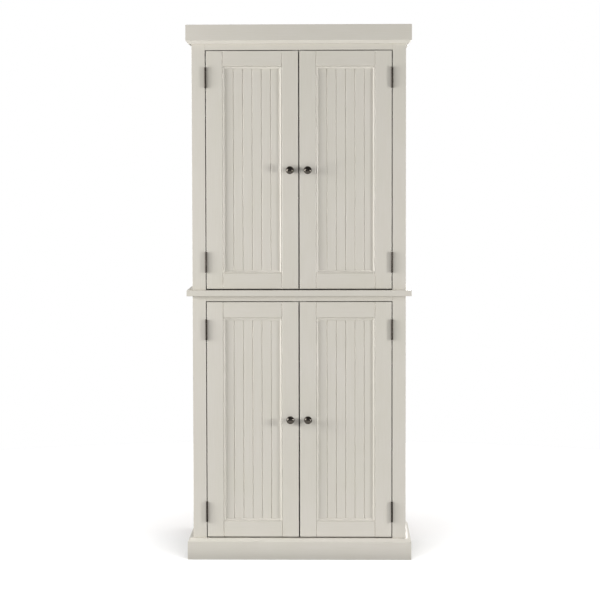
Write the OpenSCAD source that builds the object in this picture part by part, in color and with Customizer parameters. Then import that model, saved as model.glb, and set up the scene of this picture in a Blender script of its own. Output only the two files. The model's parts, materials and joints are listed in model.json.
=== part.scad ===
// Tall four-door pantry cabinet. Millimetres, +Z up, front towards -Y, +X to the right.
// The origin is on the floor, in the middle of the whole object's width and depth.

/* [Overall] */
// Width across the crown
overall_w = 762; // [640:1:920]
// Depth of the crown from front to back
overall_d = 406; // [330:1:490]
// Height from the floor to the top
overall_h = 1816; // [1500:1:2200]
// Height of the top of the waist moulding
waist_z = 920; // [760:1:1110]

/* [Boards] */
// Thickness of the case, face frame and door boards
board_t = 19; // [15:0.5:24]
// Thickness of the back sheets
back_t = 5; // [3:0.5:8]
// Height of the back sheets above the floor
back_lift = 10; // [2:1:40]
// Height of the wall fixing rail
wall_rail_h = 80; // [50:1:140]

/* [Mouldings] */
// How far the crown, waist and base stand out from the case
trim_t = 19; // [12:0.5:28]
// Height of the crown
crown_h = 64.5; // [40:0.5:100]
// Height of the base
base_h = 72; // [50:0.5:110]
// Thickness of the waist moulding
waist_t = 20; // [12:0.5:30]
// Height of the sloped edge on the crown and the base
trim_slope_h = 11; // [4:0.5:18]
// How far in the sloped edge goes
trim_slope_d = 9; // [3:0.5:11]
// Size of the small bevel where the crown meets the top rail
crown_quirk = 1.4; // [0.5:0.1:2.5]

/* [Face frame] */
// Width of the outer stiles
face_stile_w = 45; // [30:0.5:70]
// Height of the rail that shows under the crown
head_rail_show = 20.5; // [10:0.5:60]
// Height of the rail that shows under the waist moulding
mid_rail_show = 18; // [10:0.5:60]

/* [Doors] */
// Gap between a door and the outer stile
side_gap = 3.2; // [2.2:0.1:4]
// Gap between the two doors of a pair
centre_gap = 4.3; // [2:0.1:6]
// Gap above each door
head_gap = 2.8; // [1.5:0.1:5]
// Gap under an upper door
upper_sill_gap = 4.5; // [2:0.1:6]
// Gap under a lower door
lower_sill_gap = 4.2; // [2:0.1:6]
// Width of the door stiles
door_stile_w = 56; // [40:0.5:80]
// Height of the top rail of an upper door
upper_head_rail_h = 51; // [40:0.5:80]
// Height of the other door rails
door_rail_h = 53; // [40:0.5:80]
// Size of the small bevel along each door joint
joint_bevel = 1.7; // [0.3:0.1:2]

/* [Door panels] */
// Thickness of the beaded panel
panel_t = 6; // [4:0.5:8]
// Depth of the panel's front below the door's face
panel_recess = 6; // [4:0.5:9]
// How far the panel's edges go into the frame's groove
panel_tongue = 9; // [5:0.5:12]
// Clearance of the panel in its groove
panel_fit = 0.15; // [0.05:0.05:0.5]
// Spacing of the panel's V grooves
groove_pitch = 31.6; // [20:0.1:60]
// Width of each V groove
groove_w = 4; // [2:0.1:8]
// Depth of each V groove
groove_deep = 2.2; // [1:0.1:3]
// Least plain width at each side of the panel
groove_margin = 20; // [10:1:40]
// Width of the moulding round the panel
bead_w = 10.5; // [6:0.5:16]
// Depth of the moulding's front below the door's face
bead_drop = 0.4; // [0.2:0.1:1]
// Distance from the moulding's outer edge to where it starts to curve down
bead_lip = 3.4; // [3:0.1:5]
// Width of the bevel along the moulding's outer edge
bead_bevel_w = 1.8; // [0.5:0.1:2.8]
// Depth of that bevel
bead_bevel_h = 1.3; // [0.5:0.1:2]
// Height of the moulding's small step at the panel
bead_toe = 1.4; // [0.8:0.1:2]
// Width of that step
bead_foot = 0.8; // [0.3:0.1:1.5]

/* [Hinges] */
// Length of each hinge
hinge_len = 70; // [50:1:100]
// Outer diameter of the hinge knuckles
knuckle_d = 6.6; // [5:0.1:10]
// Thickness of the hinge leaves
leaf_t = 1; // [0.8:0.1:1.1]
// Width of each leaf behind the door's face
leaf_w = 15; // [12:0.5:16]
// Diameter of the hinge pin
hinge_pin_d = 3; // [2:0.1:4]
// Clearance round the hinge pin
pin_fit = 0.05; // [0.02:0.01:0.1]
// Gap between neighbouring knuckles
knuckle_gap = 0.4; // [0.2:0.1:1]
// Distance from the knuckles to the door's face
knuckle_off = 0.6; // [0.2:0.1:2]
// Spacing of a leaf's screws along the hinge
hinge_screw_step = 22; // [14:0.5:22]
// Distance of a leaf's middle screw behind the door's face
leaf_screw_near = 4.8; // [4:0.1:6]
// Distance of a leaf's outer screws from its inner edge
leaf_screw_far = 5.7; // [4:0.1:6]
// Distance from a door's end to the middle of its hinge
hinge_inset = 90; // [60:1:160]
// How much lower the hinges sit on the lower doors
lower_hinge_drop = 4; // [0:0.5:10]

/* [Knobs] */
// Diameter of the knob
knob_d = 27; // [20:0.5:40]
// How far the knob stands out from the door
knob_out = 25; // [24:0.5:36]
// Height of the knob's rounded face
knob_dome_h = 10; // [4:0.5:11]
// Thickness of the knob's rim
knob_rim_t = 1.5; // [1:0.1:2]
// Height of the sloped underside of the knob's head
knob_under_h = 3; // [1.5:0.5:3.5]
// Diameter of the knob's stem
knob_stem_d = 11; // [8:0.5:14]
// Diameter of the knob's foot on the door
knob_foot_d = 17; // [16:0.5:24]
// Thickness of the knob's foot at its edge
knob_foot_t = 2; // [1:0.1:3]
// Height at which the foot's slope meets the stem
knob_foot_h = 6; // [4:0.5:7]
// Diameter of the knob's screw
knob_screw_d = 4; // [3:0.5:5]
// How far the knob's screw goes into the knob
knob_screw_in = 10; // [6:0.5:14]
// Thickness of the knob screw's head
knob_head_t = 2.4; // [1.5:0.1:4]

/* [Shelves] */
// Adjustable shelves in each section
shelf_count = 2; // [1:1:3]
// Thickness of the adjustable shelves
shelf_t = 16; // [12:0.5:22]
// Clearance at each end of a shelf
shelf_fit = 1.5; // [0.5:0.1:3]
// Distance of a shelf's front edge behind the doors
shelf_setback = 22; // [10:1:60]
// Diameter of the shelf pins
shelf_pin_d = 5; // [4:0.5:7]
// Depth of the shelf pin holes
shelf_pin_hole = 10; // [8:0.5:12]
// Length of a shelf pin inside the case
shelf_pin_out = 9; // [6:0.5:14]
// Spacing of the shelf pin holes
pin_pitch = 32; // [20:1:50]
// Hole positions above and below each shelf
pin_steps = 2; // [0:1:3]
// Distance of the shelf pins from the front and back edges of a shelf
pin_edge = 37; // [20:1:80]

/* [Fixings] */
// Diameter of the wood screws
screw_d = 3; // [2:0.5:4]
// Head diameter of the wood screws
screw_head_d = 5.6; // [4:0.2:8]
// Length of the wood screws
screw_len = 14; // [10:1:16]
// Diameter of the cam locks
cam_d = 15; // [12:0.5:18]
// Depth of the cam locks
cam_deep = 12.5; // [8:0.5:14]
// Distance of a cam lock from the end of its board
cam_inset = 24; // [18:1:34]
// Diameter of the cam bolts
cam_bolt_d = 6; // [4:0.5:8]
// Diameter of the dowels
dowel_d = 8; // [5:0.5:10]
// Length of the dowels
dowel_len = 24; // [16:1:30]
// Distance of the cam locks from the front and back edges of a board
cam_edge = 60; // [40:1:90]
// Distance of the outer dowels from the front and back edges of a board
dowel_edge = 28; // [16:1:35]
// Clearance round fixings in their holes
fixing_fit = 0.1; // [0.05:0.05:0.3]
// Spacing of the wall fixing holes
wall_hole_pitch = 406; // [200:1:500]
// Diameter of the wall fixing holes
wall_hole_d = 5.5; // [4:0.5:8]
// Spacing wanted between the back sheet screws
back_screw_pitch = 170; // [100:5:300]

/* [Hidden] */
$fn = 48;
eps = 0.01;
over = 2;
half_w = overall_w / 2 - trim_t;
front_out = max(knob_out, trim_t);
case_d = overall_d - trim_t;
face_y = (front_out - case_d) / 2;
back_y = face_y + case_d;
inner_y = face_y + board_t;
sheet_y = back_y - back_t;
trim_y = face_y - trim_t;
top_z = overall_h - board_t;
inner_half = half_w - board_t;
open_half = half_w - face_stile_w;

// Vertical places of the openings and the doors
lower_floor = base_h;
lower_door_z = lower_floor + lower_sill_gap;
lower_head = waist_z - waist_t - mid_rail_show;
lower_door_h = lower_head - head_gap - lower_door_z;
upper_floor = waist_z;
upper_door_z = upper_floor + upper_sill_gap;
upper_head = overall_h - crown_h - head_rail_show;
upper_door_h = upper_head - head_gap - upper_door_z;
middle_z = waist_z - board_t;

// Doors, given as for a right-hand one
hinge_edge = open_half - side_gap;
lock_edge = centre_gap / 2;
panel_x0 = lock_edge + door_stile_w;
panel_x1 = hinge_edge - door_stile_w;
knob_x = lock_edge + door_stile_w / 2;
door_back = face_y + board_t;
panel_y = face_y + panel_recess;
panel_open = panel_x1 - panel_x0;
bead_open = panel_open - 2 * bead_w;
groove_gaps = floor((bead_open - 2 * groove_margin) / groove_pitch);

// Hinges
hinge_x = open_half - side_gap / 2;
hinge_y = face_y - knuckle_off - knuckle_d / 2;
knuckle_count = 5;
knuckle_pitch = (hinge_len + knuckle_gap) / knuckle_count;
screw_head_t = leaf_t - 0.05;
upper_hinge_z = [upper_door_z + hinge_inset, upper_door_z + upper_door_h - hinge_inset];
lower_hinge_z = [lower_door_z + hinge_inset - lower_hinge_drop,
    lower_door_z + lower_door_h - hinge_inset - lower_hinge_drop];
hinge_zs = concat(upper_hinge_z, lower_hinge_z);

// A door is [lower edge, height, height of its top rail, heights of its hinges]
upper_door = [upper_door_z, upper_door_h, upper_head_rail_h, upper_hinge_z];
lower_door = [lower_door_z, lower_door_h, door_rail_h, lower_hinge_z];

// Magnetic catches
catch_w = 46;
catch_d = 13;
catch_drop = 14;
catch_rise = middle_z - lower_head - 1;
strike_w = 15;
strike_h = 12;
strike_t = 1.2;
strike_screw_in = 9;
strike_low = 1;
catch_fit = 0.3;
catch_lip = 0.5;
catch_screw_x = 15;
catch_screw_in = 12;
pan_head_t = 2;
catch_zs = [upper_head, lower_head];
strike_x = centre_gap / 2 + 10;

// Shelves
shelf_y0 = inner_y + shelf_setback;
shelf_y1 = sheet_y - 2;
pin_ys = [shelf_y0 + pin_edge, shelf_y1 - pin_edge];
shelf_pin_end = 0.5;
function shelf_zs(lo, hi) = [for (i = [1:shelf_count]) lo + (hi - lo) * i / (shelf_count + 1)];
upper_shelf_zs = shelf_zs(upper_floor, top_z);
lower_shelf_zs = shelf_zs(lower_floor, middle_z);
all_shelf_zs = concat(lower_shelf_zs, upper_shelf_zs);

// Screws through the back sheets: [x, z] places on one sheet
sheet_seam = middle_z + board_t / 2;
sheet_joint = 1;
lower_sheet = [back_lift, sheet_seam - sheet_joint / 2];
upper_sheet = [sheet_seam + sheet_joint / 2, top_z];
edge_x = half_w - board_t / 2;
function steps(a, b) = max(1, ceil((b - a) / back_screw_pitch));
function spread(a, b) = [for (i = [0:steps(a, b)]) a + (b - a) * i / steps(a, b)];
lower_sheet_ends = [lower_floor - board_t / 2, sheet_seam - board_t / 4];
upper_sheet_ends = [sheet_seam + board_t / 4, top_z - wall_rail_h / 2];
function sheet_screws(ends) = concat(
    [for (z = spread(ends[0], ends[1]), s = [-1, 1]) [s * edge_x, z]],
    [for (x = [-0.5, 0, 0.5], z = ends) [x * inner_half, z]]);
back_screws = concat(sheet_screws(lower_sheet_ends), sheet_screws(upper_sheet_ends));

// Case joints: [place on the joint plane, turn]. Local -X runs into the board that holds the cam
// lock, local +X into the board that takes the bolt, and the cam opens towards local -Z.
case_ys = [inner_y + cam_edge, sheet_y - cam_edge];
dowel_ys = [inner_y + dowel_edge, (inner_y + sheet_y) / 2, sheet_y - dowel_edge];
function end_joints(z, ys) = [for (y = ys, s = [-1, 1]) [[s * inner_half, y, z], [0, 0, s > 0 ? 0 : 180]]];
function top_joints(ys) = [for (y = ys, s = [-1, 1])
    [[s * edge_x, y, top_z], [0, -90, s > 0 ? 180 : 0]]];
bottom_board_z = lower_floor - board_t / 2;
middle_board_z = middle_z + board_t / 2;
bottom_cams = end_joints(bottom_board_z, case_ys);
middle_cams = end_joints(middle_board_z, case_ys);
top_cams = top_joints(case_ys);
bottom_dowels = end_joints(bottom_board_z, dowel_ys);
middle_dowels = end_joints(middle_board_z, dowel_ys);
top_dowels = top_joints(dowel_ys);
cam_bolt_in = 11;
cam_grip = 1;
cam_slot_len = 10;
cam_slot_w = 1.5;
cam_slot_deep = 2;

wall_z = top_z - wall_rail_h / 2;
back_head_t = 2;

// Colours
paint = "#d3cfc2";
inside_paint = "#d8d5ca";
sheet_brown = "#b9a888";
bronze = "#2e2722";
zinc = "#b4b6b8";
beech = "#d9b98c";
plastic_white = "#e8e8e4";

// ---- Shared shapes ----

// A box from its lowest corner to its highest corner
module block(a, b) {
    translate(a) cube(b - a);
}

// A round bar along +X from the local origin
module bar_x(d, len) {
    rotate([0, 90, 0]) cylinder(d = d, h = len);
}

// A wood screw at the local origin: flat head from x = -head_t to 0, shank on along +X
module wood_screw(d, head_d, head_t, len) {
    translate([-head_t, 0, 0]) rotate([0, 90, 0]) cylinder(d1 = head_d, d2 = d, h = head_t);
    bar_x(d, len);
}

// The countersunk hole for its head, from x = -head_t to 0
module head_hole(head_t) {
    translate([-head_t - eps, 0, 0]) rotate([0, 90, 0])
        cylinder(d1 = screw_head_d + 2 * fixing_fit, d2 = screw_d + 2 * fixing_fit, h = head_t + 2 * eps);
}

// The pilot hole of that screw
module pilot(len) {
    translate([-eps, 0, 0]) bar_x(screw_d + fixing_fit, len + fixing_fit);
}

// ---- Case joints ----

module at_joint(j) {
    translate(j[0]) rotate(j[1]) children();
}

module cam_hole() {
    translate([-cam_inset, 0, -board_t / 2 - eps])
        cylinder(d = cam_d + 2 * fixing_fit, h = cam_deep + fixing_fit + eps);
    translate([-cam_inset, 0, 0]) bar_x(cam_bolt_d + 2 * fixing_fit, cam_inset + over);
    translate([-eps, 0, 0]) bar_x(cam_bolt_d + 2 * fixing_fit, cam_bolt_in + fixing_fit);
}

// A cam lock turned tight on its bolt, with a cross slot in its face
module cam_fitting() {
    difference() {
        translate([-cam_inset, 0, -board_t / 2]) cylinder(d = cam_d, h = cam_deep);
        translate([-cam_inset, 0, 0]) bar_x(cam_bolt_d + 2 * fixing_fit, cam_d);
        for (turn = [0, 90]) translate([-cam_inset, 0, -board_t / 2 - eps]) rotate([0, 0, turn])
            translate([-cam_slot_len / 2, -cam_slot_w / 2, 0])
                cube([cam_slot_len, cam_slot_w, cam_slot_deep]);
    }
    translate([-cam_inset + cam_grip, 0, 0]) bar_x(cam_bolt_d, cam_inset - cam_grip + cam_bolt_in);
}

module dowel_hole() {
    translate([-dowel_len / 2 - fixing_fit, 0, 0])
        bar_x(dowel_d + 2 * fixing_fit, dowel_len + 2 * fixing_fit);
}

module dowel() {
    translate([-dowel_len / 2, 0, 0]) bar_x(dowel_d, dowel_len);
}

// Holes for a list of cams and a list of dowels
module joint_holes(cams, pegs) {
    for (j = cams) at_joint(j) cam_hole();
    for (j = pegs) at_joint(j) dowel_hole();
}

module cam_fittings() {
    color(zinc) for (j = concat(bottom_cams, middle_cams, top_cams)) at_joint(j) cam_fitting();
}

module dowels() {
    color(beech) for (j = concat(bottom_dowels, middle_dowels, top_dowels)) at_joint(j) dowel();
}

// ---- Case boards ----

// Pin holes in the inner face of one side, s = -1 left or 1 right
module shelf_pin_holes(s) {
    for (z = all_shelf_zs, k = [-pin_steps:pin_steps], y = pin_ys)
        translate([s * inner_half, y, z - shelf_pin_d / 2 + k * pin_pitch])
            rotate([0, 0, s > 0 ? 0 : 180])
                translate([-over, 0, 0]) bar_x(shelf_pin_d + 2 * fixing_fit, shelf_pin_hole + over);
}

// Pilot holes of the back sheet screws
module back_pilots() {
    for (p = back_screws) translate([p[0], sheet_y, p[1]]) rotate([0, 0, -90]) pilot(screw_len);
}

module side_panel(s) {
    color(paint) difference() {
        translate([s * (half_w - board_t / 2), 0, 0])
            block([-board_t / 2, inner_y, 0], [board_t / 2, sheet_y, top_z]);
        shelf_pin_holes(s);
        joint_holes(concat(bottom_cams, middle_cams, top_cams),
            concat(bottom_dowels, middle_dowels, top_dowels));
        back_pilots();
    }
}

module fixed_board(z, cams, pegs) {
    color(inside_paint) difference() {
        block([-inner_half, inner_y, z], [inner_half, sheet_y, z + board_t]);
        joint_holes(cams, pegs);
        back_pilots();
    }
}

module bottom_panel() {
    fixed_board(lower_floor - board_t, bottom_cams, bottom_dowels);
}

module middle_panel() {
    fixed_board(middle_z, middle_cams, middle_dowels);
}

module top_panel() {
    color(paint) difference() {
        block([-half_w, face_y, top_z], [half_w, back_y, overall_h]);
        joint_holes(top_cams, top_dowels);
    }
}

// Wall fixing holes, run through whatever they cross
module wall_holes() {
    for (s = [-1, 1]) translate([s * wall_hole_pitch / 2, back_y + over, wall_z])
        rotate([90, 0, 0]) cylinder(d = wall_hole_d, h = back_t + board_t + 2 * over);
}

module wall_rail() {
    color(inside_paint) difference() {
        block([-inner_half, sheet_y - board_t, top_z - wall_rail_h], [inner_half, sheet_y, top_z]);
        wall_holes();
        back_pilots();
    }
}

// A back sheet between two heights, with a countersunk hole for each of its screws
module back_sheet(span) {
    color(sheet_brown) difference() {
        block([-half_w, sheet_y, span[0]], [half_w, back_y, span[1]]);
        for (p = back_screws) translate([p[0], back_y - back_head_t, p[1]]) rotate([0, 0, -90]) {
            head_hole(back_head_t);
            bar_x(screw_d + 2 * fixing_fit, back_t + over);
        }
        wall_holes();
    }
}

module back_sheet_lower() {
    back_sheet(lower_sheet);
}

module back_sheet_upper() {
    back_sheet(upper_sheet);
}

// ---- Face frame ----

// Pilot holes in the outer stiles for the frame leaves' screws
module frame_leaf_pilots() {
    for (s = [-1, 1], z = hinge_zs) hinge_screw_places(z)
        translate([s * open_half, 0, 0]) rotate([0, 0, s > 0 ? 0 : 180]) pilot(screw_len);
}

module face_stile(s) {
    color(paint) difference() {
        translate([s * (half_w - face_stile_w / 2), 0, 0])
            block([-face_stile_w / 2, face_y, 0], [face_stile_w / 2, inner_y, top_z]);
        frame_leaf_pilots();
    }
}

module face_rail(z0, z1) {
    color(paint) difference() {
        block([-open_half, face_y, z0], [open_half, inner_y, z1]);
        catch_pilots();
    }
}

module face_rail_top() {
    face_rail(upper_head, top_z);
}

module face_rail_middle() {
    face_rail(lower_head, upper_floor);
}

module face_rail_bottom() {
    face_rail(0, lower_floor);
}

// ---- Mouldings ----

// Outlines as [out from the case, height]
crown_outline = [[0, crown_quirk], [crown_quirk, 0], [trim_t - trim_slope_d, 0], [trim_t, trim_slope_h],
    [trim_t, crown_h], [0, crown_h]];
base_outline = [[0, 0], [trim_t, 0], [trim_t, base_h - trim_slope_h], [trim_t - trim_slope_d, base_h],
    [0, base_h]];
waist_outline = [[0, 0], [trim_t, 0], [trim_t, waist_t], [0, waist_t]];

// The front length, mitred at both ends
module trim_front(outline, z) {
    color(paint) intersection() {
        translate([-half_w - trim_t, face_y, z]) rotate([90, 0, 90])
            linear_extrude(2 * (half_w + trim_t)) mirror([1, 0]) polygon(outline);
        translate([0, face_y, z - over]) linear_extrude(crown_h + base_h)
            polygon([[-half_w, 0], [half_w, 0], [half_w + trim_t, -trim_t], [-half_w - trim_t, -trim_t]]);
    }
}

// A side length, mitred at its front end, s = -1 left or 1 right
module trim_side(outline, z, s) {
    color(paint) mirror([s > 0 ? 0 : 1, 0, 0]) intersection() {
        translate([half_w, back_y, z]) rotate([90, 0, 0])
            linear_extrude(case_d + trim_t) polygon(outline);
        translate([half_w, 0, z - over]) linear_extrude(crown_h + base_h)
            polygon([[0, face_y], [trim_t, trim_y], [trim_t, back_y], [0, back_y]]);
    }
}

module crown_front() {
    trim_front(crown_outline, overall_h - crown_h);
}

module crown_left() {
    trim_side(crown_outline, overall_h - crown_h, -1);
}

module crown_right() {
    trim_side(crown_outline, overall_h - crown_h, 1);
}

module waist_front() {
    trim_front(waist_outline, waist_z - waist_t);
}

module waist_left() {
    trim_side(waist_outline, waist_z - waist_t, -1);
}

module waist_right() {
    trim_side(waist_outline, waist_z - waist_t, 1);
}

module base_front() {
    trim_front(base_outline, 0);
}

module base_left() {
    trim_side(base_outline, 0, -1);
}

module base_right() {
    trim_side(base_outline, 0, 1);
}

// ---- Shelves ----

module shelves(zs) {
    color(inside_paint) for (z = zs)
        block([-inner_half + shelf_fit, shelf_y0, z], [inner_half - shelf_fit, shelf_y1, z + shelf_t]);
}

module lower_shelves() {
    shelves(lower_shelf_zs);
}

module upper_shelves() {
    shelves(upper_shelf_zs);
}

// Each pin is a plain peg, part in its hole and part under the shelf
module shelf_pins() {
    pin_len = shelf_pin_out + shelf_pin_hole - shelf_pin_end;
    color(zinc) for (z = all_shelf_zs, y = pin_ys, s = [-1, 1])
        translate([s * inner_half, y, z - shelf_pin_d / 2]) rotate([0, 0, s > 0 ? 0 : 180])
            translate([-shelf_pin_out, 0, 0]) bar_x(shelf_pin_d, pin_len);
}

// ---- Hinges ----

// Runs its children at the three screw places of a leaf, at the hinge's height
module hinge_screw_places(z) {
    for (k = [-1, 0, 1]) {
        depth = k == 0 ? leaf_screw_near : leaf_w - leaf_screw_far;
        translate([0, face_y + depth, z + k * hinge_screw_step]) children();
    }
}

// One leaf of a right-hand hinge: on the frame (side = 1) or on the door (side = -1)
module leaf(side, z) {
    first = side > 0 ? 0 : 1;
    edge = side * side_gap / 2;
    x0 = min(edge, edge - side * leaf_t);
    difference() {
        translate([hinge_x, 0, z - hinge_len / 2]) {
            block([x0, face_y, 0], [x0 + leaf_t, face_y + leaf_w, hinge_len]);
            for (i = [first:2:knuckle_count - 1]) translate([0, 0, i * knuckle_pitch]) {
                block([x0, hinge_y, 0], [x0 + leaf_t, face_y + eps, knuckle_pitch - knuckle_gap]);
                translate([0, hinge_y, 0]) cylinder(d = knuckle_d, h = knuckle_pitch - knuckle_gap);
            }
        }
        translate([hinge_x, hinge_y, z - hinge_len])
            cylinder(d = hinge_pin_d + 2 * pin_fit, h = 2 * hinge_len);
        hinge_screw_places(z) translate([hinge_x + edge, 0, 0]) rotate([0, 0, side > 0 ? 0 : 180])
            head_hole(leaf_t);
    }
}

// The screws of one leaf of a right-hand hinge
module leaf_screws(side, z) {
    hinge_screw_places(z) translate([hinge_x + side * side_gap / 2, 0, 0])
        rotate([0, 0, side > 0 ? 0 : 180]) wood_screw(screw_d, screw_head_d, screw_head_t, screw_len);
}

module hinge_frame_leaves() {
    color(bronze) for (s = [0, 1], z = hinge_zs) mirror([s, 0, 0]) leaf(1, z);
}

module hinge_pins() {
    color(bronze) for (s = [-1, 1], z = hinge_zs)
        translate([s * hinge_x, hinge_y, z - hinge_len / 2])
            cylinder(d = hinge_pin_d, h = hinge_len - knuckle_gap);
}

// ---- Magnetic catches ----

// One double catch behind a face rail whose lower edge is at z = 0
module catch() {
    difference() {
        translate([-catch_w / 2, inner_y, 0]) rotate([90, 0, 90]) linear_extrude(catch_w)
            polygon([[0, catch_lip], [0, catch_rise], [catch_d, catch_rise], [catch_d, -catch_drop],
                [strike_t + catch_fit, -catch_drop], [strike_t + catch_fit, catch_lip]]);
        for (s = [-1, 1]) translate([s * catch_screw_x, inner_y - over, catch_rise / 2]) rotate([-90, 0, 0])
            cylinder(d = screw_d + 2 * fixing_fit, h = catch_d + 2 * over);
    }
}

module magnetic_catches() {
    color(plastic_white) for (z = catch_zs) translate([0, 0, z]) catch();
}

// Pilot holes of the catch screws in the face rails
module catch_pilots() {
    for (s = [-1, 1], z = catch_zs) translate([s * catch_screw_x, inner_y, z + catch_rise / 2])
        rotate([0, 0, -90]) pilot(catch_screw_in);
}

// ---- Screws of the case ----

// The frame leaves' screws, the back sheets' screws and the catches' pan-head screws
module case_screws() {
    color(zinc) {
        for (s = [0, 1], z = hinge_zs) mirror([s, 0, 0]) leaf_screws(1, z);
        for (p = back_screws) translate([p[0], back_y - back_head_t, p[1]]) rotate([0, 0, -90])
            wood_screw(screw_d, screw_head_d, back_head_t, back_t - back_head_t + screw_len);
        for (s = [-1, 1], z = catch_zs)
            translate([s * catch_screw_x, inner_y + catch_d, z + catch_rise / 2]) rotate([0, 0, -90]) {
                translate([-pan_head_t, 0, 0]) bar_x(screw_head_d, pan_head_t);
                bar_x(screw_d, catch_d + catch_screw_in);
            }
    }
}

// ---- Doors: each module draws a right-hand door, mirrored for a left-hand one ----

module side_of(s) {
    mirror([s > 0 ? 0 : 1, 0, 0]) children();
}

// The groove that holds the panel, all round the opening
module panel_groove(door) {
    block([panel_x0 - panel_tongue - panel_fit, panel_y - panel_fit,
        door[0] + door_rail_h - panel_tongue - panel_fit],
        [panel_x1 + panel_tongue + panel_fit, panel_y + panel_t + panel_fit,
        door[0] + door[1] - door[2] + panel_tongue + panel_fit]);
}

// A stile's section, its joint edge at x = 0 and the board towards +X
module stile_section() {
    polygon([[joint_bevel, 0], [door_stile_w, 0], [door_stile_w, board_t], [0, board_t], [0, joint_bevel]]);
}

// The places of a door's strike plate and of its knob
module strike_place(door) {
    translate([strike_x, door_back, door[0] + door[1] - catch_drop / 2 - strike_low]) children();
}

module knob_place(door) {
    translate([knob_x, face_y, door[0] + door[1] / 2]) children();
}

module door_stiles(door, s) {
    color(paint) side_of(s) difference() {
        for (m = [[panel_x0, 1], [panel_x1, 0]])
            translate([m[0], face_y, door[0]]) mirror([m[1], 0, 0]) linear_extrude(door[1]) stile_section();
        panel_groove(door);
        tongue_slots(door);
        knob_place(door) rotate([-90, 0, 0]) translate([0, 0, -over])
            cylinder(d = knob_screw_d + 2 * fixing_fit, h = board_t + 2 * over);
        strike_place(door) rotate([0, 0, -90]) pilot(strike_screw_in + 1);
        for (z = door[3]) hinge_screw_places(z)
            translate([hinge_edge, 0, 0]) rotate([0, 0, 180]) pilot(screw_len);
    }
}

// Where the rails' tongues enter the stiles
module tongue_slots(door) {
    for (r = rail_spans(door))
        block([panel_x0 - panel_tongue - panel_fit, panel_y - panel_fit, r[0] - eps],
            [panel_x1 + panel_tongue + panel_fit, panel_y + panel_t + panel_fit, r[1] + eps]);
}

// Each rail as [lower edge, upper edge, +1 where its joint edge is its upper one or -1]
function rail_spans(door) = [
    [door[0], door[0] + door_rail_h, 1],
    [door[0] + door[1] - door[2], door[0] + door[1], -1]];

module door_rails(door, s) {
    color(paint) side_of(s) difference() {
        for (r = rail_spans(door)) {
            rail_body(r);
            block([panel_x0 - panel_tongue, panel_y, r[0]],
                [panel_x1 + panel_tongue, panel_y + panel_t, r[1]]);
        }
        panel_groove(door);
    }
}

// A rail between the stiles, bevelled at both ends and along its joint edge
module rail_body(r) {
    h = r[1] - r[0];
    up = r[2] > 0;
    intersection() {
        translate([panel_x0, face_y, r[0]]) rotate([90, 0, 90]) linear_extrude(panel_open)
            polygon([[0, up ? 0 : joint_bevel], [0, up ? h - joint_bevel : h], [joint_bevel, h],
                [board_t, h], [board_t, 0], [joint_bevel, 0]]);
        translate([0, face_y, r[0]]) linear_extrude(h)
            polygon([[panel_x0 + joint_bevel, 0], [panel_x1 - joint_bevel, 0], [panel_x1, joint_bevel],
                [panel_x1, board_t], [panel_x0, board_t], [panel_x0, joint_bevel]]);
    }
}

module door_panel(door, s) {
    z0 = door[0] + door_rail_h;
    z1 = door[0] + door[1] - door[2];
    mid_x = (panel_x0 + panel_x1) / 2;
    color(paint) side_of(s) difference() {
        block([panel_x0 - panel_tongue, panel_y, z0 - panel_tongue],
            [panel_x1 + panel_tongue, panel_y + panel_t, z1 + panel_tongue]);
        for (i = [0:groove_gaps])
            translate([mid_x + (i - groove_gaps / 2) * groove_pitch, panel_y, z0 - panel_tongue - over])
                linear_extrude(z1 - z0 + 2 * panel_tongue + 2 * over)
                    polygon([[-groove_w / 2, -eps], [groove_w / 2, -eps], [0, groove_deep]]);
    }
}

// The moulding's section as [in from the frame, depth below the door's face]
bead_steps = 8;
bead_fall = panel_recess - bead_drop - bead_toe;
function bead_curve(i) = [bead_lip + (bead_w - bead_lip - bead_foot) * (1 - cos(90 * i / bead_steps)),
    bead_drop + bead_fall * sin(90 * i / bead_steps)];
bead_outline = concat([[0, panel_recess], [0, bead_drop + bead_bevel_h], [bead_bevel_w, bead_drop]],
    [for (i = [0:bead_steps]) bead_curve(i)], [[bead_w, panel_recess - bead_toe], [bead_w, panel_recess]]);

// One length of moulding along +X, mitred at both ends, its outer edge at z = 0
module bead_length(len) {
    intersection() {
        rotate([90, 0, 90]) linear_extrude(len) polygon([for (p = bead_outline) [p[1], p[0]]]);
        translate([0, -over, 0]) rotate([-90, 0, 0]) linear_extrude(panel_recess + 2 * over)
            polygon([[0, 0], [len, 0], [len - bead_w, -bead_w], [bead_w, -bead_w]]);
    }
}

module door_bead(door, s) {
    z0 = door[0] + door_rail_h;
    z1 = door[0] + door[1] - door[2];
    color(paint) side_of(s) {
        translate([panel_x0, face_y, z0]) bead_length(panel_open);
        translate([panel_x1, face_y, z1]) rotate([0, 180, 0]) bead_length(panel_open);
        translate([panel_x0, face_y, z1]) rotate([0, 90, 0]) bead_length(z1 - z0);
        translate([panel_x1, face_y, z0]) rotate([0, -90, 0]) bead_length(z1 - z0);
    }
}

// Half section of the knob as [radius, distance out from the door]
knob_r = knob_d / 2;
knob_stem_r = knob_stem_d / 2;
knob_rim_z = knob_out - knob_dome_h - knob_rim_t;
dome_steps = 12;
knob_outline = concat(
    [[0, 0], [knob_foot_d / 2, 0], [knob_foot_d / 2, knob_foot_t], [knob_stem_r, knob_foot_h],
        [knob_stem_r, knob_rim_z - knob_under_h], [knob_r, knob_rim_z]],
    [for (i = [0:dome_steps]) [knob_r * cos(90 * i / dome_steps),
        knob_out - knob_dome_h + knob_dome_h * sin(90 * i / dome_steps)]]);

module door_knob(door, s) {
    color(bronze) side_of(s) knob_place(door) difference() {
        rotate([90, 0, 0]) rotate_extrude() polygon(knob_outline);
        rotate([90, 0, 0]) translate([0, 0, -over])
            cylinder(d = knob_screw_d + 2 * fixing_fit, h = over + knob_screw_in + 1);
    }
}

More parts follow.
